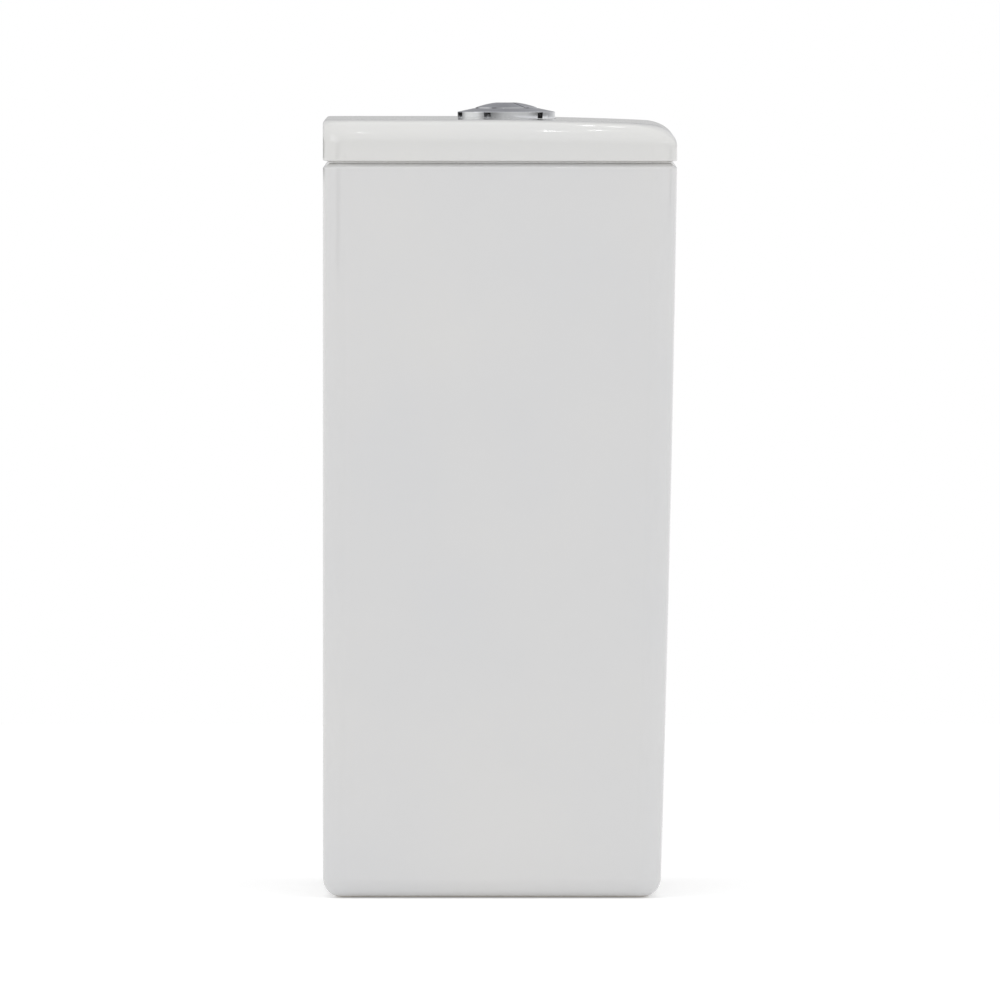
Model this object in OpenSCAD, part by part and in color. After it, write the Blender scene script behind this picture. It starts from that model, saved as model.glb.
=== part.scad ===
// Close-coupled toilet cistern: china tank and lid, dual push button, flush valve and fill valve.
// Millimetres, +Z up, front towards -Y, wall towards +Y, origin under the middle of the foot.

/* [China tank] */
// Width across the two sides
body_w = 370; // [340:1:420]
// Depth from the wall to the front, at the top
body_d = 170; // [155:1:200]
// Height from the foot to the lid joint
body_h = 352; // [345:1:400]
// How far the front leans in from the top to the foot
front_lean = 8; // [2:0.5:14]
// Outward bow of the leaning front
front_bow = 0.6; // [0.1:0.1:1.5]
// Radius of the upright corners
corner_r = 12; // [10.5:0.5:20]
// Radius of the rounded foot edge
foot_r = 9; // [5:0.5:10]
// Depth of the sloping rim under the lid, level
rim_d = 3.1; // [1:0.1:4]
// Height of the sloping rim
rim_h = 2.1; // [1:0.1:4]
// Thickness of the china walls
china_t = 9; // [7:0.5:10]
// Height of the recess under the tank
recess_h = 42; // [40:1:50]
// Thickness of the tank floor
floor_t = 11; // [8:0.5:14]
// Thickness of the skirt round the recess
skirt_t = 16; // [14:0.5:20]
// Rounding where the walls meet the tank floor
cove_r = 12; // [6:0.5:16]

/* [Lid] */
// Height of the lid at the back
lid_t = 20.5; // [19:0.5:26]
// Drop of the lid's top towards its front edge
lid_sag = 1.9; // [0.2:0.1:3]
// Depth of the soft front and side edge, level
shoulder_d = 14.5; // [8:0.5:18]
// Height of the soft front and side edge
shoulder_h = 11.5; // [8:0.5:15]
// Rounding of the lid's top edge at the wall
lid_back_r = 2; // [1:0.5:6]
// Depth of the hollow under the lid's lower edge, level
lid_edge_d = 3; // [1:0.1:4]
// Height of the hollow under the lid's lower edge
lid_edge_h = 0.8; // [0.4:0.1:1.5]
// Thickness of the lid's top
lid_top_t = 10; // [8:0.5:12]
// Depth of the locating lip below the joint
lip_h = 7; // [4:0.5:10]
// Thickness of the locating lip
lip_t = 7; // [5:0.5:9]
// Gap between the lip and the tank's walls
lip_gap = 3; // [1.5:0.5:5]
// Gap at the joint between lid and tank
lid_gap = 0.3; // [0.2:0.1:0.6]

/* [Push button] */
// Distance of the button and valve axis in front of the middle
valve_front = 3; // [0:0.5:8]
// Outer radius of the chrome ring
ring_r = 23.6; // [22.5:0.1:26]
// Height of the ring's upright band
ring_band = 3.6; // [2:0.1:5]
// Rise of the ring's sloping top
ring_rise = 1.7; // [0.8:0.1:3]
// Depth of the ring's seat in the lid
ring_seat = 0.6; // [0.3:0.1:1]
// Radius of the domed button
button_r = 14.9; // [14.2:0.1:15.4]
// Rise of the button's dome
dome_rise = 2.7; // [1.5:0.1:4]
// Radius of the small segment's curved edge
half_edge_r = 13.8; // [13:0.1:14.4]
// Distance of the small segment's edge in front of the axis
half_edge_y = 3; // [2.5:0.1:4]
// Gap between the two segments
segment_gap = 0.5; // [0.3:0.1:0.8]
// Running gap round the button
button_gap = 0.5; // [0.2:0.05:0.7]
// Thickness of the button segments at their edge
button_t = 9; // [7:0.5:10]
// Wall of the threaded barrel
barrel_wall = 3.2; // [2.5:0.1:3.6]
// Depth of the barrel below the lid's seat
barrel_h = 34; // [32:0.5:38]
// Thickness of the barrel's floor
barrel_floor = 3; // [2:0.5:4]
// Gap between the barrel and the hole in the lid
hole_gap = 1.2; // [0.5:0.1:2]
// Travel of each button segment
press_travel = 9; // [7:0.5:9]
// Radius of the push rods
rod_r = 3; // [2.5:0.1:3.4]
// Distance of the full-flush rod behind the axis
full_rod_y = 7; // [6.5:0.1:7.5]
// Distance of the half-flush rod in front of the axis
half_rod_y = 9; // [8.6:0.1:9.2]
// Gap between a rod's foot and its lever
rod_gap = 0.3; // [0.2:0.1:0.6]
// Radius of the return springs at the wire's middle
spring_r = 4.6; // [4.4:0.1:4.8]
// Radius of the spring wire
spring_wire_r = 0.45; // [0.3:0.05:0.6]
// Curls of each return spring
spring_curls = 6; // [4:1:7]

/* [Flush valve] */
// Outer radius of the outlet tail
tail_r = 29.5; // [28.5:0.1:30.5]
// Wall of the outlet tail
tail_wall = 4.5; // [3.5:0.1:5]
// Height of the outlet tail's end above the foot
tail_end = 8; // [6:0.5:12]
// Radius of the base flange
flange_r = 42; // [40.5:0.5:45]
// Thickness of the base flange
flange_t = 5; // [4:0.5:7]
// Thickness of the gasket under the flange
gasket_t = 3; // [2:0.5:4]
// Outer radius of the cage and tower
tower_r = 36; // [35:0.5:38]
// Wall of the cage and tower
tower_wall = 3; // [2:0.5:3.5]
// Height of the water windows in the cage
window_h = 32; // [26:1:36]
// Room between the button's barrel and the lever pivots
lever_room = 37.2; // [34:0.1:44]
// Height of the lever pivots above the tower's top plate
pivot_h = 66; // [62:1:68]
// Distance of the lever pivots from the axis
pivot_x = 22; // [21.5:0.5:24]
// Reach of the levers from pivot to lifting tip
lift_reach = 36; // [34:0.5:38]
// Width of the levers
lever_w = 8; // [7:0.5:8.5]
// Radius of the lever pins
pin_r = 2; // [1.5:0.1:2.4]
// Outer radius of the overflow tube
overflow_r = 14; // [12:0.5:14.5]
// Wall of the overflow tube
overflow_wall = 2; // [1.5:0.1:2.5]
// Height of the overflow tube's mouth above the tower's top plate
overflow_up = 30; // [26:1:33]
// Outer radius of the flush seal
seal_r = 30; // [28:0.5:31]
// Thickness of the flush seal
seal_t = 3; // [2:0.5:4]
// Radius of the half-flush float
half_float_r = 15; // [12:0.5:16]
// Height of the half-flush float
half_float_h = 42; // [30:1:50]

/* [Fixing to the pan] */
// Distance between the two coupling bolts
bolt_pitch = 156; // [146:1:160]
// Radius of the coupling bolts
bolt_r = 4; // [3:0.1:5]
// Height of the bolt ends above the foot
bolt_end = 6; // [4:0.5:8]
// Radius of the rubber coupling ring between cistern and pan
doughnut_r = 45; // [43:0.5:48]
// Distance between the two wall screw holes
wall_hole_pitch = 210; // [180:1:240]
// Radius of the wall screw holes
wall_hole_r = 4.5; // [3:0.1:6]
// Height of the wall screw holes below the rim
wall_hole_drop = 48; // [40:1:60]

/* [Fill valve] */
// Outer radius of the inlet tail
inlet_r = 10.4; // [9.5:0.1:11]
// Radius of the inlet's water way
inlet_bore = 6; // [5:0.1:6.5]
// Height of the inlet tail's end above the foot
inlet_end = 8; // [6:0.5:12]
// Radius of the riser column
riser_r = 12; // [11.5:0.1:12.5]
// Height of the valve head's seat above the tank floor
head_up = 216; // [205:1:222]
// Radius of the float cup
float_r = 30; // [27:0.5:32]
// Height of the float cup
float_h = 75; // [60:1:80]
// Travel of the float cup
float_travel = 12; // [8:0.5:12]
// Gap between the float cup and the tank's wall
float_wall_gap = 11; // [6:0.5:15]
// Reach of the float arm from its pin to the link rod
arm_reach = 33; // [30:0.5:35]
// Radius of the link rod
link_r = 2; // [1.5:0.1:2.4]

/* [Fits] */
// Running gap of pins and guides, radial
run_fit = 0.06; // [0.03:0.01:0.1]
// Gap of screwed and pushed-on pieces, radial
thread_fit = 0.05; // [0.02:0.01:0.1]
// Gap between pieces that slide past or rest on each other
slide_gap = 0.3; // [0.2:0.05:0.5]

/* [Hidden] */
$fn = 64;

china = "#f1f1ef";
chrome = "#b9bdc4";
white_plastic = "#e9ebec";
grey_plastic = "#8d949b";
blue_plastic = "#3f78b5";
rubber = "#2c2d2f";
steel = "#a9adb2";
brass = "#b58f45";

// Facet counts of the china's round edges
corner_steps = 8;
edge_steps = 6;
height_steps = 10;
soft_steps = 3;
cut = 1;

// Holes in the tank floor, gaps round what goes through them
outlet_hole_gap = 2.5;
bolt_hole_gap = 2.5;
inlet_hole_gap = 1.8;
// Level part of the lid's top at the wall, and spacing of the rings across its top
lid_level = 70;
lid_top_space = 16;
lid_top_rings = 3;
seat_gap = 0.3;
// Turn of the hollow under the lid's edge, and the softened edge above it
lid_edge_turn = 75;
lid_edge_soft = 0.5;
// Share of the tank's sloping rim that rounds into the wall
rim_soft = 0.2;

valve_y = -valve_front;
floor_top = recess_h + floor_t;
inner_r_least = 2;
recess_r = 6;
inner_r = max(corner_r - china_t, inner_r_least);
lid_z = body_h + lid_gap;
lid_top = lid_z + lid_t;
seat_z = lid_top - ring_seat;
ring_top = seat_z + ring_band + ring_rise;
bore_r = button_r + button_gap;
barrel_r = bore_r + barrel_wall;
hole_r = barrel_r + hole_gap;
barrel_end = seat_z - barrel_h;
cap_bottom = ring_top - button_t;
spring_floor = barrel_end + barrel_floor;
lid_under = lid_top - lid_top_t;

flange_z = floor_top + gasket_t;
seat_rise = 2;
cage_rim = 6;
seat_top = flange_z + flange_t + seat_rise;
cage_top = flange_z + flange_t + window_h + cage_rim;
plate_t = 3;
pivot_z = barrel_end - lever_room;
tower_top = pivot_z - pivot_h;
pad_r = 3.5;
tip_r = 3;
bar_t = 5;
pad_top = pivot_z + pad_r;
lift_x = pivot_x + lift_reach;
lever_swing = asin(press_travel / pivot_x);
lift_height = lift_reach * lever_swing * PI / 180;

fill_x = -(body_w / 2 - china_t - float_wall_gap - float_r);
fill_y = valve_y;
head_z = floor_top + head_up;

// Button set
ring_edge = 0.1;
ring_gasket_t = 1.5;
nut_lap = 5;
nut_r = hole_r + nut_lap;
clamp_nut_t = 9;
rib_r = 2;
dome_up = 0.3;
dome_edge = ring_top + dome_up;
dome_ball_r = (button_r * button_r + dome_rise * dome_rise) / (2 * dome_rise);
socket_h = 4;
rod_foot_r = 3.6;
rod_foot_h = 3;
spring_end_gap = 0.1;
curl_rings = 8;
wire_sides = 6;
// Middle line of a return spring between the barrel's floor and the button
spring_low = spring_floor + spring_wire_r + spring_end_gap;
spring_high = cap_bottom - spring_wire_r - spring_end_gap;
spring_line = [
    for (k = [0:spring_curls * curl_rings])
        let (a = 360 * k / curl_rings, share = k / (spring_curls * curl_rings))
        [spring_r * cos(a), spring_r * sin(a), spring_low + (spring_high - spring_low) * share]
];
spring_self_gap = min([
    for (i = [0:len(spring_line) - 1])
        for (j = [i + curl_rings / 2:len(spring_line) - 1])
            norm(spring_line[i] - spring_line[j])
]) - 2 * spring_wire_r;
echo(spring_self_gap = spring_self_gap);

// Flush valve
tail_bore = tail_r - tail_wall;
seat_w = 3;
window_w = 36;
back_nut_t = 12;
back_nut_wall = 9;
back_nut_r = tail_r + back_nut_wall;
gasket_drop = 3;
gasket_bevel = 8;
slot_margin = 24;
slot_w = 22;
skirt_lap = 5;
cheek_t = 3;
cheek_gap = 0.4;
cheek_in = 4;
cheek_out = 8;
hub_r = 5;
bridge_gap = 4;
pin_head_t = 1;
arm_z = tower_top + 2 * plate_t;
arm_t = 5;
lift_arm_trim = 1;
lift_arm_w = lever_w - lift_arm_trim;
collar_w = 2.2;
seal_lap = 2;
carrier_t = 4;
carrier_hub_h = 16;
strap_t = 4;
strap_x = lift_x - strap_t / 2;
strap_w = 3.5;
strap_gap = 1.2;
strap_window_low = 7;
lift_rod_r = 2.5;
guide_w = 12;
guide_t = 5;
guide_drop = 30;
guide_z = tower_top - guide_drop;
float_wall = 2;
half_float_gap = 4;
half_float_low = guide_z - lift_height - half_float_gap - half_float_h;

// Fixing to the pan
bolt_land = 0.2;
bolt_land_r = bolt_r + bolt_land;
bolt_head_r = 8.5;
bolt_head_t = 4;
slot_wide = 2;
cone_h = 9;
cone_r = 13;
spigot_h = 5;
washer_r = 12;
washer_t = 2;
wing_hub_h = 9;
wing_hub_r = 8;
wing_hub_taper = 1;
wing_t = 3.5;
wing_x = 13;
wing_r = 6;

// Fill valve
inlet_flange_z = floor_top + gasket_t;
inlet_flange_r = 18;
inlet_flange_t = 4;
riser_wall = 2;
riser_low = inlet_flange_z + inlet_flange_t;
riser_bore = riser_r - riser_wall;
shank_up = 92;
inlet_nut_r = 15;
inlet_nut_t = 10;
nut_land = 0.4;
thread_below = 1;
inlet_thread_z = recess_h - inlet_nut_t - thread_below;
strainer_h = 20;
strainer_wall = 1.2;
strainer_slot = 1.5;
lock_ring_w = 4;
lock_ring_h = 14;
head_r = 19.5;
head_h = 24;
diaphragm_r = 16;
diaphragm_t = 2.5;
cap_t = 7;
cap_top = head_z + head_h + cap_t;
lug_t = 3;
lug_r = 4.5;
arm_w = 7;
arm_bar_t = 4;
arm_hub_r = 4;
arm_pin_up = 9;
arm_pin_z = cap_top + arm_pin_up;
arm_half_swing = asin(float_travel / 2 / arm_reach);
head_gap = 2;
float_low = head_z - head_gap - float_travel - float_h;
link_boss_r = 4;
link_boss_h = 8;
link_gap = 1.5;
link_x = head_r + link_boss_r + link_gap;
arm_x = link_x - arm_reach;
link_nut_r = 3.6;
link_nut_t = 2.5;
nut_play = 3.1;
link_over = 9;
link_slot_gap = 0.6;

// Inward lean of the front at a height, with its bow
function front_in(z) =
    let (t = 1 - z / body_h)
    front_lean * t - 4 * front_bow * t * (1 - t);

// Level ring of points round a plan with rounded corners, counter-clockwise from above
function plan_ring(side, front, back, r, z) = [
    for (c = [0:3])
        for (k = [0:corner_steps])
            let (
                a = 90 * (c + k / corner_steps),
                x = (c == 0 || c == 3) ? side - r : r - side,
                y = c < 2 ? back - r : front + r
            )
            [x + r * cos(a), y + r * sin(a), z]
];

// Ring of the tank at a height, drawn in by an inset
function tank_ring(z, inset, r) =
    plan_ring(body_w / 2 - inset, front_in(z) + inset - body_d / 2, body_d / 2 - inset, r, z);

function middle(ring) = [for (k = [0:2]) [for (p = ring) p[k]] * [for (p = ring) 1] / len(ring)];

// Solid through level rings of points, closed by a flat foot and a fan at the top
module loft(rings) {
    n = len(rings[0]);
    last = len(rings) - 1;
    points = concat([for (ring = rings) for (p = ring) p], [middle(rings[last])]);
    foot = [[for (k = [0:n - 1]) k]];
    walls = [
        for (i = [0:last - 1])
            for (k = [0:n - 1])
                let (a = i * n + k, b = i * n + (k + 1) % n, c = b + n, d = a + n)
                each [[a, d, c], [a, c, b]]
    ];
    top = [for (k = [0:n - 1]) [last * n + (k + 1) % n, last * n + k, (last + 1) * n]];
    polyhedron(points, concat(foot, walls, top));
}

// Round tube standing between two heights
module tube(outer, inner, low, high) {
    translate([0, 0, low])
        difference() {
            cylinder(r = outer, h = high - low);
            translate([0, 0, -cut]) cylinder(r = inner, h = high - low + 2 * cut);
        }
}

// Hexagonal nut standing between two heights, sized by the radius across its flats
module hex_nut(flat_r, bore, low, high) {
    translate([0, 0, low])
        difference() {
            cylinder(r = flat_r / cos(30), h = high - low, $fn = 6);
            translate([0, 0, -cut]) cylinder(r = bore, h = high - low + 2 * cut);
        }
}

// Flat profile drawn in X and Z, thickened along Y about a middle
module plate_y(middle_y, width) {
    translate([0, middle_y + width / 2, 0]) rotate([90, 0, 0]) linear_extrude(width) children();
}

// Outer form of the tank: rounded foot, bowed front, sloping rim
module tank_form() {
    foot = [
        for (k = [0:edge_steps])
            let (a = 90 * k / edge_steps, inset = foot_r * (1 - sin(a)))
            tank_ring(foot_r * (1 - cos(a)), inset, corner_r - inset)
    ];
    straight = body_h - rim_h * (1 + rim_soft) - foot_r;
    wall = [
        for (k = [1:height_steps])
            tank_ring(foot_r + straight * k / height_steps, 0, corner_r)
    ];
    rim = [
        for (k = [1:soft_steps])
            let (
                t = k / soft_steps,
                inset = rim_d * rim_soft * t * t,
                up = rim_h * rim_soft * (t * t - (1 - t) * (1 - t))
            )
            tank_ring(body_h - rim_h + up, inset, corner_r - inset)
    ];
    loft(concat(foot, wall, rim, [tank_ring(body_h, rim_d, corner_r - rim_d)]));
}

// Water space of the tank, coved at its floor and open at the top
module tank_space() {
    cove = [
        for (k = [0:edge_steps])
            let (a = 90 * k / edge_steps)
            tank_ring(floor_top + cove_r * (1 - cos(a)), china_t + cove_r * (1 - sin(a)), inner_r)
    ];
    straight = body_h + cut - floor_top - cove_r;
    wall = [
        for (k = [1:height_steps])
            tank_ring(floor_top + cove_r + straight * k / height_steps, china_t, inner_r)
    ];
    loft(concat(cove, wall));
}

// Space inside the skirt under the tank floor
module recess_space() {
    roof = [
        for (k = [0:edge_steps])
            let (a = 90 * k / edge_steps)
            tank_ring(recess_h - recess_r * (1 - sin(a)), skirt_t + recess_r * (1 - cos(a)), inner_r)
    ];
    loft(concat([tank_ring(-cut, skirt_t, inner_r)], roof));
}

module cistern_body() {
    hole_depth = floor_t + 2 * cut;
    color(china)
        difference() {
            tank_form();
            tank_space();
            recess_space();
            translate([0, valve_y, recess_h - cut])
                cylinder(r = tail_r + outlet_hole_gap, h = hole_depth);
            for (x = [-1, 1] * bolt_pitch / 2)
                translate([x, valve_y, recess_h - cut])
                    cylinder(r = bolt_r + bolt_hole_gap, h = hole_depth);
            translate([fill_x, fill_y, recess_h - cut])
                cylinder(r = inlet_r + inlet_hole_gap, h = hole_depth);
            for (x = [-1, 1] * wall_hole_pitch / 2)
                translate([x, body_d / 2 + cut, body_h - wall_hole_drop])
                    rotate([90, 0, 0]) cylinder(r = wall_hole_r, h = china_t + 2 * cut);
        }
}

// Drop of the lid's top along its depth, an arc that begins behind the button
function lid_drop(y) =
    let (start = body_d / 2 - lid_level, end = shoulder_d - body_d / 2)
    y > start ? 0 : lid_sag * pow((start - y) / (start - end), 2);

// Ring of the lid: level at its foot, following the sagging top higher up
function lid_ring(up, inset, back_inset, r) = [
    for (p = plan_ring(body_w / 2 - inset, inset - body_d / 2, body_d / 2 - back_inset, r, 0))
        [p[0], p[1], lid_z + up - lid_drop(p[1]) * up / lid_t]
];

// Outer form of the lid: soft front and side edges, tight edge at the wall
module lid_form() {
    edge = [
        for (k = [0:soft_steps])
            let (a = lid_edge_turn * k / soft_steps, inset = lid_edge_d * cos(a))
            lid_ring(lid_edge_h * sin(a), inset, inset, corner_r - inset)
    ];
    soft = lid_ring(lid_edge_h + lid_edge_soft, 0, 0, corner_r);
    low = lid_t - shoulder_h;
    steps = 2 * edge_steps;
    shoulder = [
        for (k = [0:steps])
            let (
                a = 90 * k / steps,
                up = low + shoulder_h * sin(a),
                over = max(up - lid_t + lid_back_r, 0)
            )
            lid_ring(
                up,
                shoulder_d * (1 - cos(a)),
                lid_back_r - sqrt(lid_back_r * lid_back_r - over * over),
                corner_r
            )
    ];
    top = [
        for (k = [1:lid_top_rings])
            let (inset = lid_top_space * k)
            lid_ring(lid_t, shoulder_d + inset, lid_back_r + inset, corner_r)
    ];
    loft(concat(edge, [soft], shoulder, top));
}

// Level-sided block inside the tank's plan between two heights, drawn in by an inset
module inner_block(inset, low, high) {
    side = body_w / 2 - inset;
    front = inset - body_d / 2;
    back = body_d / 2 - inset;
    loft([plan_ring(side, front, back, inner_r, low), plan_ring(side, front, back, inner_r, high)]);
}

module cistern_lid() {
    lip_in = china_t + lip_gap;
    color(china)
        difference() {
            union() {
                lid_form();
                inner_block(lip_in, lid_z - lip_h, lid_z + 2 * cut);
            }
            inner_block(lip_in + lip_t, lid_z - lip_h - cut, lid_under);
            translate([0, valve_y, lid_under - cut]) cylinder(r = hole_r, h = lid_top_t + 2 * cut);
            translate([0, valve_y, seat_z]) cylinder(r = ring_r + seat_gap, h = ring_seat + cut);
        }
}

// Chrome ring with its sloping top, and the barrel that goes through the lid
module button_ring() {
    color(chrome)
        translate([0, valve_y, 0])
            difference() {
                rotate_extrude()
                    polygon([
                        [0, barrel_end], [barrel_r, barrel_end], [barrel_r, seat_z],
                        [ring_r, seat_z], [ring_r, seat_z + ring_band - ring_edge],
                        [ring_r - ring_edge, seat_z + ring_band],
                        [bore_r + ring_edge, ring_top], [bore_r, ring_top - ring_edge],
                        [bore_r, spring_floor], [0, spring_floor]
                    ]);
                for (y = [full_rod_y, -half_rod_y])
                    translate([0, y, barrel_end - cut])
                        cylinder(r = rod_r + slide_gap, h = barrel_floor + 2 * cut);
            }
}

module ring_gasket() {
    color(rubber)
        translate([0, valve_y, 0])
            tube(nut_r, barrel_r + slide_gap, lid_under - ring_gasket_t, lid_under);
}

// Ring nut that clamps the barrel under the lid, with grip ribs
module ring_clamp_nut() {
    high = lid_under - ring_gasket_t;
    color(white_plastic)
        translate([0, valve_y, 0])
            difference() {
                union() {
                    translate([0, 0, high - clamp_nut_t]) cylinder(r = nut_r, h = clamp_nut_t);
                    for (a = [0:45:315])
                        rotate(a) translate([nut_r, 0, high - clamp_nut_t])
                            cylinder(r = rib_r, h = clamp_nut_t);
                }
                translate([0, 0, high - clamp_nut_t - cut])
                    cylinder(r = barrel_r + thread_fit, h = clamp_nut_t + 2 * cut);
            }
}

// Whole domed button before it is split, on the valve's axis
module button_form() {
    intersection() {
        translate([0, 0, cap_bottom]) cylinder(r = button_r, h = button_t + dome_rise);
        translate([0, 0, dome_edge + dome_rise - dome_ball_r]) sphere(r = dome_ball_r, $fn = 128);
    }
}

// Upright round cutter behind the small segment's curved edge
module half_edge(r) {
    translate([0, -half_edge_y - half_edge_r, cap_bottom - cut])
        cylinder(r = r, h = button_t + dome_rise + 2 * cut);
}

// Socket in a button's underside for its push rod
module rod_socket(y) {
    translate([0, y, cap_bottom - cut]) cylinder(r = rod_r + thread_fit, h = socket_h + cut);
}

module full_flush_button() {
    color(chrome)
        translate([0, valve_y, 0])
            difference() {
                button_form();
                half_edge(half_edge_r + segment_gap);
                rod_socket(full_rod_y);
            }
}

module half_flush_button() {
    color(chrome)
        translate([0, valve_y, 0])
            difference() {
                intersection() {
                    button_form();
                    half_edge(half_edge_r);
                }
                rod_socket(-half_rod_y);
            }
}

// Round wire wound along the spring's middle line
module return_spring() {
    slope = (spring_high - spring_low) / (spring_curls * 2 * PI * spring_r);
    loft([
        for (k = [0:len(spring_line) - 1])
            let (
                a = 360 * k / curl_rings,
                out = [cos(a), sin(a), 0],
                along = [-sin(a), cos(a), slope] / norm([1, slope]),
                up = cross(along, out)
            )
            [
                for (s = [0:wire_sides - 1])
                    let (b = 360 * s / wire_sides)
                    spring_line[k] + spring_wire_r * (cos(b) * out + sin(b) * up)
            ]
    ]);
}

module full_button_spring() {
    color(steel) translate([0, valve_y + full_rod_y, 0]) return_spring();
}

module half_button_spring() {
    color(steel) translate([0, valve_y - half_rod_y, 0]) return_spring();
}

// Push rod from a button's socket down to its lever, with a wider foot
module push_rod(y) {
    low = pad_top + rod_gap;
    translate([0, valve_y + y, 0]) {
        translate([0, 0, low]) cylinder(r = rod_r, h = cap_bottom + socket_h - low);
        translate([0, 0, low]) cylinder(r = rod_foot_r, h = rod_foot_h);
    }
}

module full_push_rod() {
    color(white_plastic) push_rod(full_rod_y);
}

module half_push_rod() {
    color(blue_plastic) push_rod(-half_rod_y);
}

// Seat, water windows and threaded tail of the flush valve
module outlet_base() {
    flange_top = flange_z + flange_t;
    color(white_plastic)
        translate([0, valve_y, 0]) {
            tube(tail_r, tail_bore, tail_end, flange_z + cut);
            tube(flange_r, tail_bore, flange_z, flange_top);
            tube(tail_bore + seat_w, tail_bore, flange_top - cut, seat_top);
            difference() {
                tube(tower_r, tower_r - tower_wall, flange_top - cut, cage_top);
                for (a = [0:90:270])
                    rotate(a) translate([0, -window_w / 2, seat_top + cut])
                        cube([2 * tower_r, window_w, window_h - cut]);
            }
        }
}

module base_gasket() {
    color(rubber) translate([0, valve_y, 0]) tube(flange_r, tail_r + slide_gap, floor_top, flange_z);
}

// Ring nut that pulls the valve base down on the tank floor, with grip ribs
module outlet_back_nut() {
    low = recess_h - back_nut_t;
    color(white_plastic)
        translate([0, valve_y, 0])
            difference() {
                union() {
                    translate([0, 0, low]) cylinder(r = back_nut_r, h = back_nut_t);
                    for (a = [0:30:330])
                        rotate(a) translate([back_nut_r, 0, low]) cylinder(r = rib_r, h = back_nut_t);
                }
                translate([0, 0, low - cut]) cylinder(r = tail_r + thread_fit, h = back_nut_t + 2 * cut);
            }
}

// Soft ring that seals the tail to the pan, bevelled towards the pan
module coupling_gasket() {
    low = tail_end - gasket_drop;
    high = recess_h - back_nut_t;
    inner = tail_r + slide_gap;
    color(rubber)
        translate([0, valve_y, 0])
            rotate_extrude()
                polygon([
                    [inner + gasket_drop, low], [doughnut_r - gasket_bevel, low],
                    [doughnut_r, low + gasket_bevel], [doughnut_r, high - gasket_drop],
                    [doughnut_r - gasket_drop, high], [inner, high], [inner, low + gasket_drop]
                ]);
}

// Tower that twists on to the cage, with slots, a guided top and the half-float's guide arm
module flush_tower() {
    slot_low = cage_top + slot_margin;
    slot_h = tower_top - slot_margin - slot_low;
    guide_y = -half_rod_y;
    color(grey_plastic)
        translate([0, valve_y, 0]) {
            difference() {
                tube(tower_r, tower_r - tower_wall, cage_top, tower_top - cut);
                for (a = [90, 230, 310])
                    rotate(a) translate([0, -slot_w / 2, slot_low]) cube([2 * tower_r, slot_w, slot_h]);
            }
            tube(tower_r, overflow_r + slide_gap, tower_top - plate_t, tower_top);
            tube(tower_r + tower_wall, tower_r - tower_wall, cage_top, cage_top + plate_t);
            tube(tower_r + tower_wall, tower_r + thread_fit, cage_top - skirt_lap, cage_top + cut);
            difference() {
                union() {
                    translate([-strap_x, guide_y - guide_w / 2, guide_z])
                        cube([strap_x - tower_r + tower_wall, guide_w, guide_t]);
                    translate([-strap_x, guide_y, guide_z]) cylinder(r = guide_w / 2, h = guide_t);
                }
                translate([-strap_x, guide_y, guide_z - cut])
                    cylinder(r = lift_rod_r + slide_gap, h = guide_t + 2 * cut);
                translate([0, 0, guide_z - cut]) cylinder(r = tower_r - tower_wall, h = guide_t + 2 * cut);
            }
        }
}

// One upright cheek of the bridge, beside a lever
module cheek(middle_y) {
    plate_y(middle_y, cheek_t)
        difference() {
            union() {
                polygon([
                    [pivot_x - cheek_in, tower_top], [pivot_x + cheek_out, tower_top],
                    [pivot_x + hub_r, pivot_z], [pivot_x - cheek_in, pivot_z]
                ]);
                translate([pivot_x + (hub_r - cheek_in) / 2, pivot_z]) circle(r = (hub_r + cheek_in) / 2);
            }
            translate([pivot_x, pivot_z]) circle(r = pin_r + thread_fit);
        }
}

// Pair of cheeks for one lever, on the right, at a distance behind the axis
module clevis(y) {
    for (s = [-1, 1]) cheek(y + s * (lever_w + cheek_t + 2 * cheek_gap) / 2);
}

module lever_bridge() {
    color(grey_plastic)
        translate([0, valve_y, 0]) {
            tube(tower_r - tower_wall, overflow_r + bridge_gap, tower_top, tower_top + plate_t);
            clevis(full_rod_y);
            mirror([1, 0, 0]) clevis(-half_rod_y);
        }
}

// Rocking lever on the right: pad under the push rod, hub on its pin, tip in the lift rod
module lever(y) {
    plate_y(y, lever_w)
        difference() {
            union() {
                translate([0, pivot_z]) circle(r = pad_r);
                translate([0, pivot_z - bar_t / 2]) square([lift_x, bar_t]);
                translate([lift_x, pivot_z]) circle(r = tip_r);
                translate([pivot_x, pivot_z]) circle(r = hub_r);
            }
            translate([pivot_x, pivot_z]) circle(r = pin_r + run_fit);
        }
}

module full_flush_lever() {
    color(white_plastic) translate([0, valve_y, 0]) lever(full_rod_y);
}

module half_flush_lever() {
    color(blue_plastic) translate([0, valve_y, 0]) mirror([1, 0, 0]) lever(-half_rod_y);
}

// Headed pin through a lever and its two cheeks, on the right
module lever_pin(y) {
    length = lever_w + 2 * (cheek_gap + cheek_t) + pin_head_t;
    translate([pivot_x, y + length / 2, pivot_z])
        rotate([90, 0, 0]) {
            cylinder(r = pin_r, h = length);
            translate([0, 0, length - pin_head_t / 2]) cylinder(r = pin_r + pin_head_t, h = pin_head_t);
        }
}

module lever_pins() {
    color(steel)
        translate([0, valve_y, 0]) {
            lever_pin(full_rod_y);
            mirror([1, 0, 0]) lever_pin(-half_rod_y);
        }
}

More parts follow.
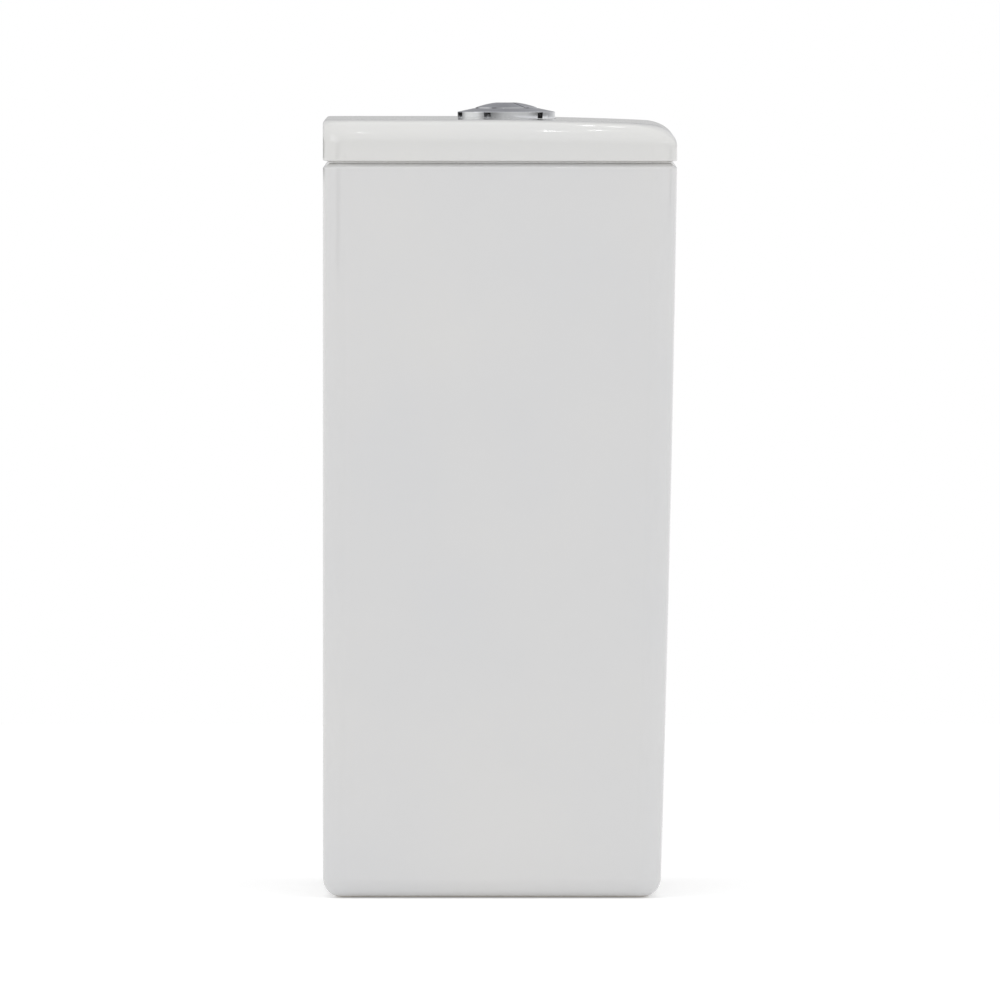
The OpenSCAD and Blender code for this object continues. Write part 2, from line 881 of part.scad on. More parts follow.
// Overflow tube and valve stem in one, with the arm that the lift rod stands on
module overflow_tube() {
    low = seat_top + slide_gap;
    high = tower_top + overflow_up;
    color(white_plastic)
        translate([0, valve_y, 0])
            difference() {
                union() {
                    translate([0, 0, low]) cylinder(r = overflow_r, h = high - low);
                    translate([0, 0, arm_z]) cylinder(r = overflow_r + collar_w, h = arm_t);
                    translate([0, full_rod_y - lift_arm_w / 2, arm_z]) cube([lift_x, lift_arm_w, arm_t]);
                }
                translate([0, 0, low - cut])
                    cylinder(r = overflow_r - overflow_wall, h = high - low + 2 * cut);
            }
}

// Disc that carries the flush seal at the foot of the overflow tube
module seal_carrier() {
    low = seat_top + slide_gap + seal_t;
    color(grey_plastic)
        translate([0, valve_y, 0]) {
            tube(seal_r - seal_lap, overflow_r + thread_fit, low, low + carrier_t);
            tube(overflow_r + collar_w, overflow_r + thread_fit, low + carrier_t - cut, low + carrier_hub_h);
        }
}

module flush_seal() {
    low = seat_top + slide_gap;
    color(rubber) translate([0, valve_y, 0]) tube(seal_r, overflow_r + thread_fit, low, low + seal_t);
}

// Flat strap with a window for a lever's tip, from a foot height up, on the right
module lift_strap(y, low) {
    window_half = lever_w / 2 + strap_gap;
    strap_half = window_half + strap_w;
    window_low = pivot_z - strap_window_low;
    window_high = pivot_z + tip_r + slide_gap;
    translate([strap_x - strap_t / 2, y, 0])
        rotate([90, 0, 90])
            linear_extrude(strap_t)
                difference() {
                    translate([-strap_half, low]) square([2 * strap_half, window_high + strap_w - low]);
                    translate([-window_half, window_low])
                        square([2 * window_half, window_high - window_low]);
                }
}

module full_lift_rod() {
    color(white_plastic) translate([0, valve_y, 0]) lift_strap(full_rod_y, arm_z + arm_t);
}

// Strap, guided rod and stop collar of the half flush
module half_lift_rod() {
    strap_low = pivot_z - strap_window_low - strap_w;
    color(blue_plastic)
        translate([0, valve_y, 0]) {
            mirror([1, 0, 0]) lift_strap(-half_rod_y, strap_low);
            translate([-strap_x, -half_rod_y, half_float_low])
                cylinder(r = lift_rod_r, h = strap_low + cut - half_float_low);
            translate([-strap_x, -half_rod_y, guide_z + guide_t + slide_gap])
                cylinder(r = 2 * lift_rod_r, h = plate_t);
        }
}

// Float cup, open below, round a sleeve: profile between two heights
module cup_profile(bore, sleeve, outer, wall, low, high) {
    polygon([
        [bore, low], [sleeve, low], [sleeve, high - wall], [outer - wall, high - wall],
        [outer - wall, low], [outer, low], [outer, high - wall], [outer - wall, high], [bore, high]
    ]);
}

module half_flush_float() {
    color(blue_plastic)
        translate([-strap_x, valve_y - half_rod_y, 0])
            rotate_extrude()
                cup_profile(
                    lift_rod_r + thread_fit, 2 * lift_rod_r, half_float_r, float_wall,
                    half_float_low, half_float_low + half_float_h
                );
}

// Both coupling bolts, with slotted round heads inside the tank and a land for each wing nut
module coupling_bolts() {
    head_low = floor_top + cone_h;
    land_low = recess_h - washer_t - wing_hub_h - thread_below;
    color(steel)
        for (x = [-1, 1] * bolt_pitch / 2)
            translate([x, valve_y, 0]) {
                translate([0, 0, bolt_end]) cylinder(r = bolt_r, h = land_low + cut - bolt_end);
                translate([0, 0, land_low]) cylinder(r = bolt_land_r, h = head_low + cut - land_low);
                translate([0, 0, head_low])
                    difference() {
                        cylinder(r = bolt_head_r, h = bolt_head_t);
                        translate([-bolt_head_r - cut, -slot_wide / 2, bolt_head_t / 2])
                            cube([2 * (bolt_head_r + cut), slot_wide, bolt_head_t]);
                    }
            }
}

// Rubber cones under the bolt heads, each with a spigot in its hole
module bolt_cone_seals() {
    spigot_r = bolt_r + bolt_hole_gap - slide_gap;
    color(rubber)
        for (x = [-1, 1] * bolt_pitch / 2)
            translate([x, valve_y, 0])
                rotate_extrude()
                    polygon([
                        [bolt_land_r + thread_fit, floor_top - spigot_h], [spigot_r, floor_top - spigot_h],
                        [spigot_r, floor_top], [cone_r, floor_top], [cone_r, floor_top + plate_t],
                        [bolt_head_r, floor_top + cone_h], [bolt_land_r + thread_fit, floor_top + cone_h]
                    ]);
}

module bolt_washers() {
    color(steel)
        for (x = [-1, 1] * bolt_pitch / 2)
            translate([x, valve_y, 0])
                tube(washer_r, bolt_land_r + slide_gap, recess_h - washer_t, recess_h);
}

// Wing nuts under the tank floor, wings down
module wing_nuts() {
    high = recess_h - washer_t;
    low = high - wing_hub_h;
    color(brass)
        for (x = [-1, 1] * bolt_pitch / 2)
            translate([x, valve_y, 0])
                difference() {
                    union() {
                        translate([0, 0, low])
                            cylinder(r1 = wing_hub_r - wing_hub_taper, r2 = wing_hub_r, h = wing_hub_h);
                        plate_y(0, wing_t)
                            for (s = [-1, 1]) {
                                translate([s * wing_x, low]) circle(r = wing_r);
                                translate([min(0, s * wing_x), low]) square([wing_x, wing_r]);
                            }
                    }
                    translate([0, 0, low - wing_r - cut])
                        cylinder(r = bolt_land_r + thread_fit, h = wing_hub_h + wing_r + 2 * cut);
                }
}

// Threaded inlet tail, flange and inner tube of the fill valve
module fill_shank() {
    color(white_plastic)
        translate([fill_x, fill_y, 0]) {
            tube(inlet_r, inlet_bore, inlet_end, inlet_thread_z + cut);
            tube(inlet_r + nut_land, inlet_bore, inlet_thread_z, inlet_flange_z + cut);
            tube(inlet_flange_r, inlet_bore, inlet_flange_z, riser_low);
            tube(riser_bore - thread_fit, inlet_bore, riser_low - cut, riser_low + shank_up);
        }
}

module inlet_seal() {
    color(rubber)
        translate([fill_x, fill_y, 0])
            tube(inlet_flange_r, inlet_r + nut_land + slide_gap, floor_top, inlet_flange_z);
}

module inlet_back_nut() {
    color(white_plastic)
        translate([fill_x, fill_y, 0])
            hex_nut(inlet_nut_r, inlet_r + nut_land + thread_fit, recess_h - inlet_nut_t, recess_h);
}

// Slotted cup in the inlet's water way that holds back grit
module inlet_strainer() {
    outer = inlet_bore - thread_fit;
    color(white_plastic)
        translate([fill_x, fill_y, inlet_end])
            difference() {
                cylinder(r = outer, h = strainer_h);
                translate([0, 0, -cut])
                    cylinder(r = outer - strainer_wall, h = strainer_h - strainer_wall + cut);
                for (a = [0:60:300])
                    rotate(a) translate([0, -strainer_slot / 2, strainer_wall])
                        cube([2 * outer, strainer_slot, strainer_h - 3 * strainer_wall]);
            }
}

// Sleeve that carries the valve head, with the float's lower stop
module fill_riser() {
    stop_high = float_low - slide_gap;
    color(white_plastic)
        translate([fill_x, fill_y, 0]) {
            tube(riser_r, riser_bore, riser_low, head_z);
            tube(riser_r + plate_t, riser_r - cut, stop_high - plate_t, stop_high);
        }
}

// Ring that locks the riser at its height, with grip ribs
module riser_lock_ring() {
    low = riser_low + plate_t;
    color(grey_plastic)
        translate([fill_x, fill_y, 0])
            difference() {
                union() {
                    translate([0, 0, low]) cylinder(r = riser_r + lock_ring_w, h = lock_ring_h);
                    for (a = [0:45:315])
                        rotate(a) translate([riser_r + lock_ring_w, 0, low])
                            cylinder(r = rib_r, h = lock_ring_h);
                }
                translate([0, 0, low - cut]) cylinder(r = riser_r + thread_fit, h = lock_ring_h + 2 * cut);
            }
}

// Housing of the valve seat, recessed for the diaphragm
module fill_valve_head() {
    color(white_plastic)
        translate([fill_x, fill_y, head_z])
            difference() {
                cylinder(r = head_r, h = head_h);
                translate([0, 0, -cut]) cylinder(r = inlet_bore, h = head_h + 2 * cut);
                translate([0, 0, head_h - diaphragm_t])
                    cylinder(r = diaphragm_r + slide_gap, h = diaphragm_t + cut);
            }
}

module valve_diaphragm() {
    color(rubber)
        translate([fill_x, fill_y, head_z + head_h - diaphragm_t]) cylinder(r = diaphragm_r, h = diaphragm_t);
}

// Cap over the diaphragm, with the two lugs that hold the float arm
module fill_head_cap() {
    lug_y = arm_w / 2 + slide_gap + lug_t / 2;
    color(grey_plastic)
        translate([fill_x, fill_y, 0]) {
            translate([0, 0, head_z + head_h]) cylinder(r = head_r, h = cap_t);
            for (s = [-1, 1])
                plate_y(s * lug_y, lug_t)
                    difference() {
                        union() {
                            translate([arm_x, arm_pin_z]) circle(r = lug_r);
                            translate([arm_x - lug_r, cap_top - cut])
                                square([2 * lug_r, arm_pin_z - cap_top + cut]);
                        }
                        translate([arm_x, arm_pin_z]) circle(r = pin_r + thread_fit);
                    }
        }
}

// Float cup round the riser, with the socket of the link rod on its top
module fill_float() {
    high = float_low + float_h;
    bore = riser_r + slide_gap;
    color(blue_plastic)
        translate([fill_x, fill_y, 0])
            difference() {
                union() {
                    rotate_extrude()
                        cup_profile(bore, bore + float_wall, float_r, float_wall, float_low, high);
                    translate([link_x, 0, high - cut]) cylinder(r = link_boss_r, h = link_boss_h + cut);
                }
                translate([link_x, 0, high]) cylinder(r = link_r + thread_fit, h = link_boss_h + cut);
            }
}

// Link rod from the float's socket through the arm's slot, with its two stop nuts
module float_link_rod() {
    low = float_low + float_h;
    arm_mid = arm_pin_z - float_travel / 2;
    color(white_plastic)
        translate([fill_x + link_x, fill_y, 0]) {
            translate([0, 0, low]) cylinder(r = link_r, h = arm_mid + link_over - low);
            translate([0, 0, arm_mid - nut_play - link_nut_t]) cylinder(r = link_nut_r, h = link_nut_t);
            translate([0, 0, arm_mid + nut_play]) cylinder(r = link_nut_r, h = link_nut_t);
        }
}

// Float arm, tipped down as it lies when the float is at its lower stop
module float_arm() {
    slot_half = link_r + link_slot_gap;
    color(grey_plastic)
        translate([fill_x + arm_x, fill_y, arm_pin_z])
            rotate([0, arm_half_swing, 0])
                difference() {
                    plate_y(0, arm_w)
                        difference() {
                            union() {
                                circle(r = arm_hub_r);
                                translate([0, -arm_bar_t / 2]) square([arm_reach + 2 * slot_half, arm_bar_t]);
                            }
                            circle(r = pin_r + run_fit);
                        }
                    translate([arm_reach - 1.5 * slot_half, -slot_half, -arm_bar_t])
                        cube([3 * slot_half, 2 * slot_half, 2 * arm_bar_t]);
                }
}

module arm_pin() {
    length = arm_w + 2 * (slide_gap + lug_t) + pin_head_t;
    color(steel)
        translate([fill_x + arm_x, fill_y + length / 2, arm_pin_z])
            rotate([90, 0, 0]) {
                cylinder(r = pin_r, h = length);
                translate([0, 0, length - pin_head_t / 2]) cylinder(r = pin_r + pin_head_t, h = pin_head_t);
            }
}

cistern_body();
cistern_lid();
button_ring();
ring_gasket();
ring_clamp_nut();
full_flush_button();
half_flush_button();
full_button_spring();
half_button_spring();
full_push_rod();
half_push_rod();
outlet_base();
base_gasket();
outlet_back_nut();
coupling_gasket();
flush_tower();
lever_bridge();
full_flush_lever();
half_flush_lever();
lever_pins();
overflow_tube();
seal_carrier();
flush_seal();
full_lift_rod();
half_lift_rod();
half_flush_float();
coupling_bolts();
bolt_cone_seals();
bolt_washers();
wing_nuts();
fill_shank();
inlet_seal();
inlet_back_nut();
inlet_strainer();
fill_riser();
riser_lock_ring();
fill_valve_head();
fill_head_cap();
valve_diaphragm();
fill_float();
float_link_rod();
float_arm();
arm_pin();
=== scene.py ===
import math

import bpy
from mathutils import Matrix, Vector


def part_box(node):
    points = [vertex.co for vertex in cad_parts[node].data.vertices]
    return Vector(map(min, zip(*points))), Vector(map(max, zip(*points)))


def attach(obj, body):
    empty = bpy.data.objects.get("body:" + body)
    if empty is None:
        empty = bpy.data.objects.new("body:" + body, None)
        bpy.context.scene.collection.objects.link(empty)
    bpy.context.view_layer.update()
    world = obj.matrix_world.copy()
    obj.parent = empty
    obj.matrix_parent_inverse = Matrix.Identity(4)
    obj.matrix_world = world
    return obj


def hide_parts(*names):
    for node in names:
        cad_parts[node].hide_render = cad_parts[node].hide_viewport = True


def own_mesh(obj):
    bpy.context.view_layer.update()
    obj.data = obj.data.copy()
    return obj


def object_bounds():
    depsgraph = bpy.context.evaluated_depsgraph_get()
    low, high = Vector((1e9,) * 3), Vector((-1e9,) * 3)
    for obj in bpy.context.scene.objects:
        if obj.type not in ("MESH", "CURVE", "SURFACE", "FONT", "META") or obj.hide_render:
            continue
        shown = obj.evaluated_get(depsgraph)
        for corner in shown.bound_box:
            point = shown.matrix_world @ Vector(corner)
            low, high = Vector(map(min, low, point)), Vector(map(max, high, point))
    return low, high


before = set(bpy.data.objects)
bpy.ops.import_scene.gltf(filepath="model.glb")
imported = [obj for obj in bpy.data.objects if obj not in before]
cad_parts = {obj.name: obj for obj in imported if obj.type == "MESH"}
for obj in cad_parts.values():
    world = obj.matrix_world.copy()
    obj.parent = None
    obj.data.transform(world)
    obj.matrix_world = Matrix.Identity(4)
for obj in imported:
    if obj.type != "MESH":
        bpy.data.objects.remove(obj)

cad_low, cad_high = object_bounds()

MM = 0.001

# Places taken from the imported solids
body_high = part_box("cistern_body")[1]
lid_low, lid_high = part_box("cistern_lid")
ring_low, ring_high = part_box("button_ring")
shank_low, shank_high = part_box("fill_shank")
bolts_low, bolts_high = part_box("coupling_bolts")
clamp_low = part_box("ring_clamp_nut")[0]
button_x = (ring_low.x + ring_high.x) / 2
button_y = (ring_low.y + ring_high.y) / 2
inlet_x = (shank_low.x + shank_high.x) / 2
inlet_y = (shank_low.y + shank_high.y) / 2

# Sizes of the china lid
lip_h = 7 * MM
lip_t = 7 * MM
lip_in = 12 * MM
lip_corner_r = 3 * MM
lid_t = 20.5 * MM
lid_top_t = 10 * MM
lid_sag = 1.9 * MM
lid_level = 70 * MM
shoulder_d = 14.5 * MM
shoulder_h = 11.5 * MM
lid_corner_r = 12 * MM
lid_back_r = 2 * MM
lid_edge_d = 3 * MM
lid_edge_h = 0.8 * MM
lid_edge_turn = 75
lid_edge_soft = 0.5 * MM
seat_r = 23.9 * MM
seat_deep = 0.6 * MM
hole_r = 19.8 * MM
cove_r = 4 * MM
lip_round_r = 1.5 * MM
edge_room = 0.3 * MM
joint_room = 0.4 * MM
seat_rim = 0.35 * MM
seat_bevel = 0.1 * MM
rest_gap = 0.05 * MM
joint_z = lid_low.z + lip_h
rest_z = body_high.z + rest_gap
hollow_z = joint_z + lid_t - lid_top_t
ring_seat_z = joint_z + lid_t - seat_deep


# Helpers for nodes and pieces

def put(tree, kind, sockets=None, **settings):
    """Adds a node, with its settings, and its sockets set to a value or joined to another socket."""
    made = tree.nodes.new(kind)
    for key, value in settings.items():
        setattr(made, key, value)
    for key, value in (sockets or {}).items():
        if isinstance(value, bpy.types.NodeSocket):
            tree.links.new(value, made.inputs[key])
        else:
            made.inputs[key].default_value = value
    return made


def calc(tree, operation, first, second):
    """Result of one sum on two values or sockets."""
    return put(tree, "ShaderNodeMath", {0: first, 1: second}, operation=operation).outputs[0]


def spread(tree, value, low, high, from_low=0.0, from_high=1.0):
    """Value moved from one range to another, held inside it."""
    sockets = {"Value": value, "From Min": from_low, "From Max": from_high, "To Min": low, "To Max": high}
    return put(tree, "ShaderNodeMapRange", sockets).outputs[0]


def blend_colour(tree, share, first, second):
    """Colour between two colours."""
    made = tree.nodes.new("ShaderNodeMix")
    made.data_type = "RGBA"
    for index, value in ((0, share), (6, first), (7, second)):
        if isinstance(value, bpy.types.NodeSocket):
            tree.links.new(value, made.inputs[index])
        else:
            made.inputs[index].default_value = value
    return made.outputs[2]


def new_effect(name, inputs, outputs):
    """Empty node group with named inputs, each with its usual value, and named outputs."""
    group = bpy.data.node_groups.new(name, "ShaderNodeTree")
    for label, value in inputs:
        socket = group.interface.new_socket(name=label, in_out="INPUT", socket_type="NodeSocketFloat")
        socket.default_value = value
    for label in outputs:
        group.interface.new_socket(name=label, in_out="OUTPUT", socket_type="NodeSocketFloat")
    return group, group.nodes.new("NodeGroupInput"), group.nodes.new("NodeGroupOutput")


def place(tree, group, **values):
    """Puts a shared effect in a material, with its own values."""
    made = put(tree, "ShaderNodeGroup", node_tree=group)
    for label, value in values.items():
        made.inputs[label.replace("_", " ").title()].default_value = value
    return made


def new_material(name):
    """Empty material with its Principled shader."""
    material = bpy.data.materials.new(name)
    material.use_nodes = True
    tree = material.node_tree
    return material, tree, tree.nodes["Principled BSDF"]


def empty_material(name):
    """Material with no nodes yet."""
    material = bpy.data.materials.new(name)
    material.use_nodes = True
    material.node_tree.nodes.clear()
    return material, material.node_tree


def new_piece(name, points, faces, material):
    """Object of one mesh with its finish, put in the scene."""
    mesh = bpy.data.meshes.new(name)
    mesh.from_pydata(points, [], faces)
    mesh.validate()
    mesh.materials.append(material)
    piece = bpy.data.objects.new(name, mesh)
    bpy.context.scene.collection.objects.link(piece)
    return piece


# Shared effects

def make_glaze_flow():
    """Slow waves and fine peel of a fired glaze, and the tone that changes where it ran thicker."""
    group, given, result = new_effect(
        "glaze_flow", [("Wave Size", 16.0), ("Peel Size", 420.0)], ["Tone", "Height", "Gloss"])
    place_on = put(group, "ShaderNodeTexCoord").outputs["Object"]
    wave = put(group, "ShaderNodeTexNoise", {
        "Vector": place_on, "Scale": given.outputs["Wave Size"], "Detail": 2.0, "Roughness": 0.4})
    peel = put(group, "ShaderNodeTexNoise", {
        "Vector": place_on, "Scale": given.outputs["Peel Size"], "Detail": 3.0, "Roughness": 0.5})
    height = calc(group, "ADD", wave.outputs[0], calc(group, "MULTIPLY", peel.outputs[0], 0.035))
    group.links.new(spread(group, wave.outputs[0], 0.0, 1.0, 0.3, 0.7), result.inputs["Tone"])
    group.links.new(height, result.inputs["Height"])
    group.links.new(spread(group, peel.outputs[0], 0.0, 1.0, 0.3, 0.7), result.inputs["Gloss"])
    return group


def make_mould_grain():
    """Fine spark-eroded skin of a moulded piece, with faint flow marks along it."""
    group, given, result = new_effect(
        "mould_grain", [("Grain Size", 1500.0), ("Flow Size", 40.0)], ["Tone", "Height", "Gloss"])
    place_on = put(group, "ShaderNodeTexCoord").outputs["Object"]
    grain = put(group, "ShaderNodeTexNoise", {
        "Vector": place_on, "Scale": given.outputs["Grain Size"], "Detail": 4.0, "Roughness": 0.6})
    stretched = put(group, "ShaderNodeMapping", {"Vector": place_on, "Scale": (1.0, 1.0, 0.25)})
    flow = put(group, "ShaderNodeTexNoise", {
        "Vector": stretched.outputs[0], "Scale": given.outputs["Flow Size"],
        "Detail": 3.0, "Distortion": 0.6})
    group.links.new(spread(group, flow.outputs[0], 0.0, 1.0, 0.3, 0.7), result.inputs["Tone"])
    group.links.new(grain.outputs[0], result.inputs["Height"])
    group.links.new(spread(group, calc(group, "ADD", grain.outputs[0], flow.outputs[0]), 0.0, 1.0, 0.7, 1.3),
                    result.inputs["Gloss"])
    return group


def make_fine_scratches():
    """Hair-fine rubbing marks on metal that run one way, and the dulled patches between them."""
    group, given, result = new_effect(
        "fine_scratches", [("Line Size", 900.0), ("Patch Size", 60.0)], ["Tone", "Height", "Gloss"])
    place_on = put(group, "ShaderNodeTexCoord").outputs["Object"]
    drawn = put(group, "ShaderNodeMapping", {
        "Vector": place_on, "Rotation": (0.0, 0.0, math.radians(28)), "Scale": (1.0, 0.04, 1.0)})
    lines = put(group, "ShaderNodeTexNoise", {
        "Vector": drawn.outputs[0], "Scale": given.outputs["Line Size"], "Detail": 4.0, "Roughness": 0.65})
    patches = put(group, "ShaderNodeTexNoise", {
        "Vector": place_on, "Scale": given.outputs["Patch Size"], "Detail": 5.0, "Roughness": 0.6})
    group.links.new(spread(group, patches.outputs[0], 0.0, 1.0, 0.35, 0.65), result.inputs["Tone"])
    group.links.new(lines.outputs[0], result.inputs["Height"])
    gloss = calc(group, "MULTIPLY", lines.outputs[0], patches.outputs[0])
    group.links.new(spread(group, gloss, 0.0, 1.0, 0.12, 0.4), result.inputs["Gloss"])
    return group


def make_dried_film():
    """Faint dried drops and wiped smears on pieces that are touched or splashed."""
    group, given, result = new_effect("dried_film", [("Drop Size", 90.0), ("Smear Size", 24.0)], ["Film"])
    place_on = put(group, "ShaderNodeTexCoord").outputs["Object"]
    drops = put(group, "ShaderNodeTexVoronoi", {
        "Vector": place_on, "Scale": given.outputs["Drop Size"]}, feature="DISTANCE_TO_EDGE")
    smear = put(group, "ShaderNodeTexNoise", {
        "Vector": place_on, "Scale": given.outputs["Smear Size"], "Detail": 6.0, "Distortion": 1.4})
    rims = spread(group, drops.outputs["Distance"], 1.0, 0.0, 0.0, 0.06)
    worn = spread(group, smear.outputs[0], 0.0, 1.0, 0.52, 0.72)
    film = calc(group, "MULTIPLY", calc(group, "ADD", worn, calc(group, "MULTIPLY", rims, 0.35)), worn)
    group.links.new(film, result.inputs["Film"])
    return group


glaze_flow = make_glaze_flow()
mould_grain = make_mould_grain()
fine_scratches = make_fine_scratches()
dried_film = make_dried_film()


# Finishes

glaze_fade = 0.4 * MM
biscuit_rough = 0.85
# Reach, fade and roughness of the painted shade on the walls of the button's gaps
slot_wide = 1.0 * MM
slot_fade = 0.2 * MM
slot_lip = 0.1 * MM
slot_rough = 0.7


def make_china(name, thin, thick, bare_low, bare_high):
    """White fired glaze of two near tones, bare where the piece faces down between two heights."""
    material, tree, shader = new_material(name)
    flow = place(tree, glaze_flow, wave_size=14.0, peel_size=520.0)
    film = place(tree, dried_film, drop_size=70.0, smear_size=9.0)
    where = put(tree, "ShaderNodeSeparateXYZ", {0: put(tree, "ShaderNodeTexCoord").outputs["Object"]})
    facing = put(tree, "ShaderNodeSeparateXYZ", {0: put(tree, "ShaderNodeTexCoord").outputs["Normal"]})
    above = spread(tree, where.outputs["Z"], 0.0, 1.0, bare_low - glaze_fade, bare_low)
    below = spread(tree, where.outputs["Z"], 1.0, 0.0, bare_high, bare_high + glaze_fade)
    down = spread(tree, facing.outputs["Z"], 1.0, 0.0, -0.93, -0.8)
    bare = calc(tree, "MULTIPLY", calc(tree, "MULTIPLY", above, below), down)
    glazed = blend_colour(tree, flow.outputs["Tone"], thin, thick)
    biscuit = blend_colour(tree, flow.outputs["Gloss"], (0.62, 0.59, 0.54, 1), (0.70, 0.675, 0.63, 1))
    tree.links.new(blend_colour(tree, bare, glazed, biscuit), shader.inputs["Base Color"])
    gloss = calc(tree, "ADD", spread(tree, flow.outputs["Gloss"], 0.045, 0.085),
                 calc(tree, "MULTIPLY", film.outputs["Film"], 0.05))
    rough = calc(tree, "MAXIMUM", gloss, calc(tree, "MULTIPLY", bare, biscuit_rough))
    tree.links.new(rough, shader.inputs["Roughness"])
    bump = put(tree, "ShaderNodeBump", {
        "Strength": 0.5, "Distance": 0.05 * MM, "Height": flow.outputs["Height"]})
    tree.links.new(bump.outputs[0], shader.inputs["Normal"])
    return material


def make_chrome(name, light, dark, slot_r):
    """Bright plating with rubbing marks and dried film, with painted shade down in the button's gaps, where
    the walls are near-black, dull and not metallic.
    """
    material, tree, shader = new_material(name)
    marks = place(tree, fine_scratches, line_size=1400.0, patch_size=110.0)
    film = place(tree, dried_film, drop_size=260.0, smear_size=70.0)
    rest = put(tree, "ShaderNodeTexCoord")
    off = put(tree, "ShaderNodeVectorMath", {0: rest.outputs["Object"], 1: (button_x, button_y, 0.0)},
              operation="SUBTRACT")
    level = put(tree, "ShaderNodeVectorMath", {0: off.outputs[0], 1: (1.0, 1.0, 0.0)}, operation="MULTIPLY")
    reach = put(tree, "ShaderNodeVectorMath", {0: level.outputs[0]}, operation="LENGTH").outputs["Value"]
    facing = put(tree, "ShaderNodeSeparateXYZ", {0: rest.outputs["Normal"]})
    upright = spread(tree, calc(tree, "ABSOLUTE", facing.outputs["Z"], 0.0), 1.0, 0.0, 0.3, 0.7)
    inside = spread(tree, reach, 1.0, 0.0, slot_r, slot_r + slot_fade)
    height = put(tree, "ShaderNodeSeparateXYZ", {0: rest.outputs["Object"]}).outputs["Z"]
    below = spread(tree, height, 1.0, 0.0, ring_high.z - slot_lip, ring_high.z)
    split = spread(tree, reach, 1.0, 0.0, slot_r - slot_wide, slot_r - slot_wide + slot_fade)
    deep = calc(tree, "MAXIMUM", below, split)
    # Painted shade: upright walls down in the button's gaps turn near-black, dull and not metallic
    painted_gap_shade = calc(tree, "MULTIPLY", calc(tree, "MULTIPLY", upright, inside), deep)
    plated = blend_colour(tree, marks.outputs["Tone"], light, dark)
    tree.links.new(blend_colour(tree, painted_gap_shade, plated, (0.03, 0.03, 0.032, 1)), shader.inputs["Base Color"])
    gloss = calc(tree, "ADD", spread(tree, marks.outputs["Gloss"], 0.035, 0.075),
                 calc(tree, "MULTIPLY", film.outputs["Film"], 0.09))
    rough = calc(tree, "MAXIMUM", gloss, calc(tree, "MULTIPLY", painted_gap_shade, slot_rough))
    tree.links.new(rough, shader.inputs["Roughness"])
    tree.links.new(calc(tree, "SUBTRACT", 1.0, painted_gap_shade), shader.inputs["Metallic"])
    bump = put(tree, "ShaderNodeBump", {
        "Strength": 0.06, "Distance": 0.01 * MM, "Height": marks.outputs["Height"]})
    tree.links.new(bump.outputs[0], shader.inputs["Normal"])
    return material


def make_plastic(name, light, dark, rough_low, rough_high):
    """Satin moulded plastic."""
    material, tree, shader = new_material(name)
    grain = place(tree, mould_grain, grain_size=1800.0, flow_size=45.0)
    tree.links.new(blend_colour(tree, grain.outputs["Tone"], dark, light), shader.inputs["Base Color"])
    tree.links.new(spread(tree, grain.outputs["Gloss"], rough_low, rough_high), shader.inputs["Roughness"])
    bump = put(tree, "ShaderNodeBump", {
        "Strength": 0.35, "Distance": 0.03 * MM, "Height": grain.outputs["Height"]})
    tree.links.new(bump.outputs[0], shader.inputs["Normal"])
    return material


def make_rubber(name):
    """Soft black moulded rubber with a dusty bloom."""
    material, tree, shader = new_material(name)
    grain = place(tree, mould_grain, grain_size=900.0, flow_size=70.0)
    film = place(tree, dried_film, drop_size=180.0, smear_size=60.0)
    black = blend_colour(tree, grain.outputs["Tone"], (0.016, 0.016, 0.017, 1), (0.03, 0.03, 0.031, 1))
    bloom = calc(tree, "MULTIPLY", film.outputs["Film"], 0.35)
    tree.links.new(blend_colour(tree, bloom, black, (0.11, 0.11, 0.11, 1)), shader.inputs["Base Color"])
    tree.links.new(spread(tree, grain.outputs["Gloss"], 0.58, 0.8), shader.inputs["Roughness"])
    bump = put(tree, "ShaderNodeBump", {
        "Strength": 0.5, "Distance": 0.05 * MM, "Height": grain.outputs["Height"]})
    tree.links.new(bump.outputs[0], shader.inputs["Normal"])
    return material


def make_metal(name, light, dark, rough_low, rough_high):
    """Drawn or turned metal with dulled patches."""
    material, tree, shader = new_material(name)
    marks = place(tree, fine_scratches, line_size=1100.0, patch_size=130.0)
    tree.links.new(blend_colour(tree, marks.outputs["Tone"], light, dark), shader.inputs["Base Color"])
    tree.links.new(spread(tree, marks.outputs["Gloss"], rough_low, rough_high), shader.inputs["Roughness"])
    shader.inputs["Metallic"].default_value = 1.0
    bump = put(tree, "ShaderNodeBump", {
        "Strength": 0.25, "Distance": 0.02 * MM, "Height": marks.outputs["Height"]})
    tree.links.new(bump.outputs[0], shader.inputs["Normal"])
    return material


tank_glaze = make_china("tank_glaze", (0.773, 0.774, 0.779, 1), (0.793, 0.789, 0.784, 1), -1 * MM, 0.6 * MM)
lid_glaze = make_china("lid_glaze", (0.80, 0.80, 0.793, 1), (0.82, 0.815, 0.798, 1),
                       rest_z - 0.1 * MM, joint_z + 0.3 * MM)
chrome = make_chrome("bright_chrome", (0.69, 0.70, 0.72, 1), (0.64, 0.65, 0.68, 1), 15.5 * MM)
white_plastic = make_plastic("satin_white_plastic", (0.76, 0.77, 0.77, 1), (0.71, 0.72, 0.725, 1), 0.32, 0.5)
grey_plastic = make_plastic("satin_grey_plastic", (0.30, 0.33, 0.36, 1), (0.24, 0.265, 0.29, 1), 0.34, 0.52)
blue_plastic = make_plastic("satin_blue_plastic", (0.055, 0.20, 0.46, 1), (0.04, 0.155, 0.38, 1), 0.3, 0.48)
rubber = make_rubber("soft_black_rubber")
zinc_steel = make_metal("zinc_plated_steel", (0.62, 0.63, 0.65, 1), (0.5, 0.51, 0.54, 1), 0.2, 0.42)
turned_brass = make_metal("turned_brass", (0.66, 0.47, 0.18, 1), (0.55, 0.37, 0.12, 1), 0.18, 0.38)


# Solids that keep their own shape

